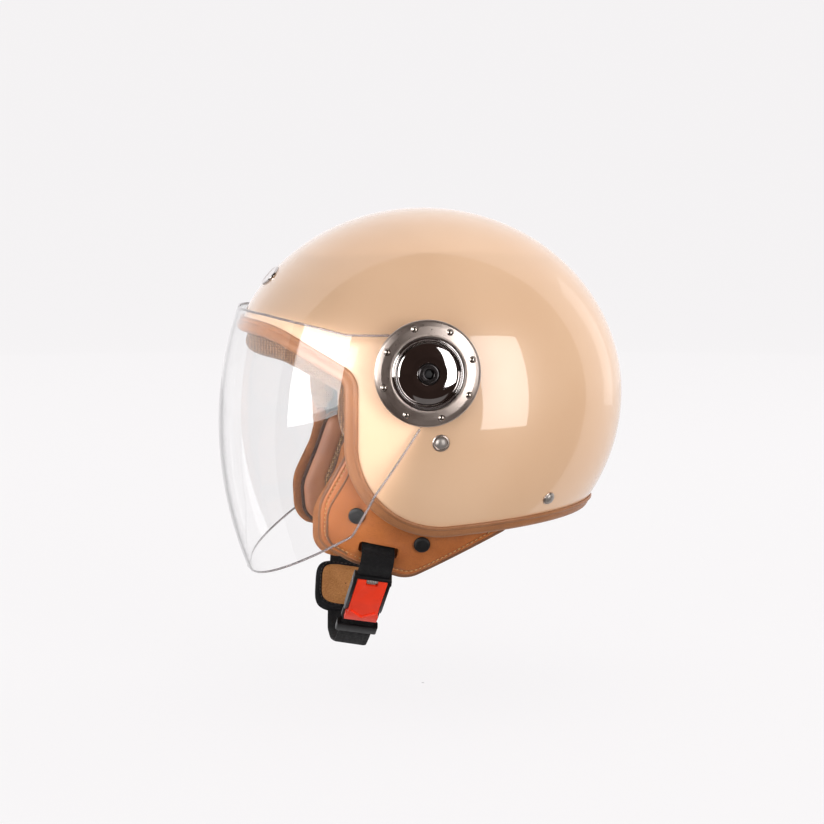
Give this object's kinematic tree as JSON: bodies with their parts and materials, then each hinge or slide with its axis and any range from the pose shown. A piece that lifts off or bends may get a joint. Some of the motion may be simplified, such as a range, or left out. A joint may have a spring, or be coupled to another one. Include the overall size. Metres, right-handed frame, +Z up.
{
  "type": "open face motorcycle helmet",
  "caption": "Open face helmet with a round painted shell, leather edging, padded liner, tilting clear visor on round side plates and a quick-release chin strap.",
  "frame": {"origin": "the point of the crown pad that the top of the wearer's head touches, on the helmet's middle plane", "axes": "+Z up, -Y the wearer's front, +X the wearer's left"},
  "size_m": [0.261, 0.2768, 0.3026],
  "materials": {
    "cream_paint": "gloss enamel",
    "edge_leather": "smooth synthetic leather edging",
    "eps_foam": "moulded bead foam",
    "mesh_cloth": "woven spacer mesh",
    "tan_leather": "soft grained synthetic leather",
    "tan_suede": "brushed suede cloth",
    "black_enamel": "enamelled snap cap",
    "black_plastic": "moulded nylon",
    "satin_metal": "satin plated metal",
    "chrome_trim": "mirror chrome",
    "zinc_steel": "plated steel",
    "black_webbing": "woven polyester webbing",
    "clear_polycarbonate": "clear polished polycarbonate",
    "red_plastic": "moulded red plastic"
  },
  "bodies": {
    "helmet": {"outer_shell": "cream_paint", "edge_trim": "edge_leather", "foam_liner": "eps_foam", "crown_pad": "mesh_cloth", "brow_pad": "mesh_cloth", "neck_pad": "mesh_cloth", "front_badge": "chrome_trim", "left_cheek_pad": "tan_suede", "right_cheek_pad": "tan_suede", "left_cheek_skirt": "tan_leather", "right_cheek_skirt": "tan_leather", "left_front_stud": "black_enamel", "right_front_stud": "black_enamel", "left_rear_stud": "black_enamel", "right_rear_stud": "black_enamel", "left_strap_rivet": "satin_metal", "right_strap_rivet": "satin_metal", "left_rear_rivet": "satin_metal", "right_rear_rivet": "satin_metal", "left_pivot_base": "black_plastic", "right_pivot_base": "black_plastic", "left_pivot_nut": "zinc_steel", "right_pivot_nut": "zinc_steel", "left_side_plate": "satin_metal", "right_side_plate": "satin_metal", "left_step_ring": "chrome_trim", "right_step_ring": "chrome_trim", "left_plate_dome": "chrome_trim", "right_plate_dome": "chrome_trim", "left_pivot_screw": "zinc_steel", "right_pivot_screw": "zinc_steel", "left_upper_webbing": "black_webbing", "right_upper_webbing": "black_webbing"},
    "visor_body": {"visor": "clear_polycarbonate"},
    "strap_loop": {"left_strap": "black_webbing", "right_strap": "black_webbing", "buckle_housing": "black_plastic", "lever_pin": "zinc_steel", "lever_spring": "zinc_steel", "buckle_tongue": "zinc_steel", "strap_keeper": "black_plastic"},
    "lever_body": {"release_lever": "red_plastic"},
    "chin_pad_body": {"chin_pad": "tan_suede"}
  },
  "joints": [
    {"name": "visor_tilt", "type": "hinge", "parent": "helmet", "child": "visor_body", "pos_m": [0, -0.015, -0.0655], "axis": [-1, 0, 0], "range_deg": [0, 62]},
    {"name": "chin_strap_swing", "type": "hinge", "parent": "helmet", "child": "strap_loop", "pos_m": [0, -0.042, -0.185], "axis": [-1, 0, 0], "range_deg": [-1, 30]},
    {"name": "lever_release", "type": "hinge", "parent": "strap_loop", "child": "lever_body", "pos_m": [0.0791, -0.04546, -0.20681], "axis": [0, -0.9877, 0.1564], "range_deg": [0, 30], "stiffness_Nm_per_rad": 0.05},
    {"name": "chin_pad_slide", "type": "slide", "parent": "strap_loop", "child": "chin_pad_body", "axis": [0.6947, -0.1125, -0.7105], "range_m": [-0.008, 0.0035]}
  ]
}
